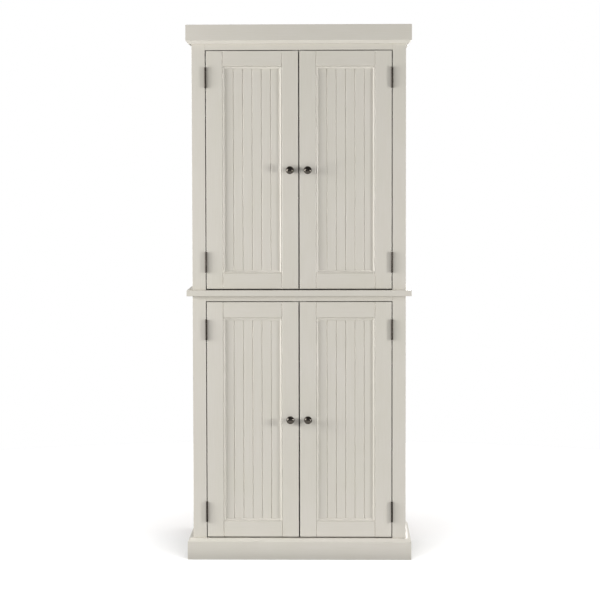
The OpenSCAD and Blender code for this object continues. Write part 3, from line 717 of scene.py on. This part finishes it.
# The backdrop is white, and lights the cabinet only a little
LIT_BY_ROOM = 0.2
world = bpy.data.worlds.new("studio")
world.use_nodes = True
scene.world = world
tree = world.node_tree
tree.nodes.clear()
room = tree.nodes.new("ShaderNodeBackground")
room.inputs["Strength"].default_value = LIT_BY_ROOM
backdrop = tree.nodes.new("ShaderNodeBackground")
for background in (room, backdrop):
    background.inputs["Color"].default_value = (1, 1, 1, 1)
seen = tree.nodes.new("ShaderNodeLightPath")
either = tree.nodes.new("ShaderNodeMixShader")
world_output = tree.nodes.new("ShaderNodeOutputWorld")
tree.links.new(seen.outputs["Is Camera Ray"], either.inputs[0])
tree.links.new(room.outputs[0], either.inputs[1])
tree.links.new(backdrop.outputs[0], either.inputs[2])
tree.links.new(either.outputs[0], world_output.inputs["Surface"])


def linking_set(name, piece, state):
    """A light linking set that takes one piece in or leaves it out."""
    collection = bpy.data.collections.new(name)
    collection.objects.link(piece)
    collection.collection_objects[0].light_linking.link_state = state
    return collection


FLOOR_ONLY = linking_set("floor_only", floor, "INCLUDE")
ALL_BUT_FLOOR = linking_set("all_but_floor", floor, "EXCLUDE")
ALL_BUT_FLAG = linking_set("all_but_flag", flag, "EXCLUDE")


def add_lamp(name, kind, receivers, blockers):
    """A lamp that lights some pieces and is held back by some."""
    data = bpy.data.lights.new(name, kind)
    lamp = bpy.data.objects.new(name, data)
    scene.collection.objects.link(lamp)
    lamp.visible_camera = False
    lamp.light_linking.receiver_collection = receivers
    lamp.light_linking.blocker_collection = blockers
    return lamp


def softbox(name, place, aim, size, power, flagged=False):
    """A rectangular area light at a place, turned to face a point."""
    lamp = add_lamp(name, "AREA", ALL_BUT_FLOOR, None if flagged else ALL_BUT_FLAG)
    lamp.data.shape = "RECTANGLE"
    lamp.data.size, lamp.data.size_y = size
    lamp.data.energy = power
    lamp.location = place
    lamp.rotation_euler = (Vector(aim) - Vector(place)).to_track_quat("-Z", "Y").to_euler()
    return lamp


def beside(side, angle, distance, height):
    """A place beside the doors, at an angle off the plane of their faces."""
    turn = math.radians(angle)
    return (side * distance * math.cos(turn), DOOR_FACE - distance * math.sin(turn), height)


def floor_light(name, way, strength):
    """A wide, even light that falls on the floor alone."""
    lamp = add_lamp(name, "SUN", FLOOR_ONLY, ALL_BUT_FLAG)
    lamp.data.angle = SOFT_SUN
    lamp.data.energy = strength
    lamp.rotation_euler = Vector(way).to_track_quat("-Z", "Y").to_euler()


LEFT = -1
RIGHT = 1
SOFT_SUN = math.radians(80)
MIDDLE = (0, DOOR_FACE, 0.95)
softbox("left_key", beside(LEFT, angle=12, distance=3.0, height=1.7), MIDDLE,
        size=(0.8, 0.45), power=31, flagged=True)
softbox("left_low", beside(LEFT, angle=12, distance=3.0, height=0.8), MIDDLE,
        size=(0.8, 0.45), power=41, flagged=True)
softbox("left_wide", beside(LEFT, angle=32, distance=3.0, height=1.6), MIDDLE,
        size=(1.4, 0.8), power=36, flagged=True)
softbox("right_key", beside(RIGHT, angle=21, distance=3.35, height=1.0), MIDDLE,
        size=(0.45, 0.45), power=64.5)
softbox("right_wide", beside(RIGHT, angle=42, distance=3.0, height=1.2), MIDDLE,
        size=(0.9, 0.9), power=9)
softbox("front_fill", (0, -7.0, 1.0), MIDDLE, size=(2.5, 1.8), power=9)

# Two lamps lie on the floor in front and stand for the light that it would send up
BOUNCE_START = DOOR_FACE - 60 * MM
BOUNCE_HEIGHT = 10 * MM
for name, reach, width, power in (("floor_bounce", 3.0, 5.0, 11), ("near_bounce", 0.25, 0.9, 0.25)):
    middle_y = BOUNCE_START - reach / 2
    bounce = softbox(name, (0, middle_y, BOUNCE_HEIGHT), (0, middle_y, 1), (width, reach), power)
    bounce.visible_glossy = False

softbox("left_side", (-3.2, 1.2, 1.6), (-0.38, 0, 0.9), size=(1.4, 1.6), power=60)
softbox("back", (0.8, 4.2, 2.0), (0, 0.2, 0.9), size=(2.4, 1.6), power=110)
softbox("overhead", (0, 1.0, 4.4), (0, 0.1, 1.8), size=(2.0, 1.4), power=70)
floor_light("floor_front", (0, 0.8, -1), 3.6)
floor_light("floor_top", (0, 0, -1), 0.9)


# ---- Camera ----

CAMERA_DISTANCE = 7.5
CAMERA_X = 0.133
CAMERA_HEIGHT = 1.349
CAMERA_PITCH = math.radians(3.452)
CAMERA_TURN = math.radians(1.381)
CAMERA_ROLL = math.radians(0.125)
LENS = 132.84
SENSOR = 36
SHIFT_X = 0.025
SHIFT_Y = -0.005
SEES_TO = 100

camera_data = bpy.data.cameras.new("camera")
camera_data.lens = LENS
camera_data.sensor_width = SENSOR
camera_data.shift_x = SHIFT_X
camera_data.shift_y = SHIFT_Y
camera_data.clip_end = SEES_TO
camera = bpy.data.objects.new("camera", camera_data)
scene.collection.objects.link(camera)
turn = Matrix.Rotation(CAMERA_TURN, 4, "Z")
pitch = Matrix.Rotation(math.radians(90) - CAMERA_PITCH, 4, "X")
roll = Matrix.Rotation(-CAMERA_ROLL, 4, "Z")
place = Matrix.Translation((CAMERA_X, DOOR_FACE - CAMERA_DISTANCE, CAMERA_HEIGHT))
camera.matrix_world = place @ turn @ pitch @ roll
scene.camera = camera
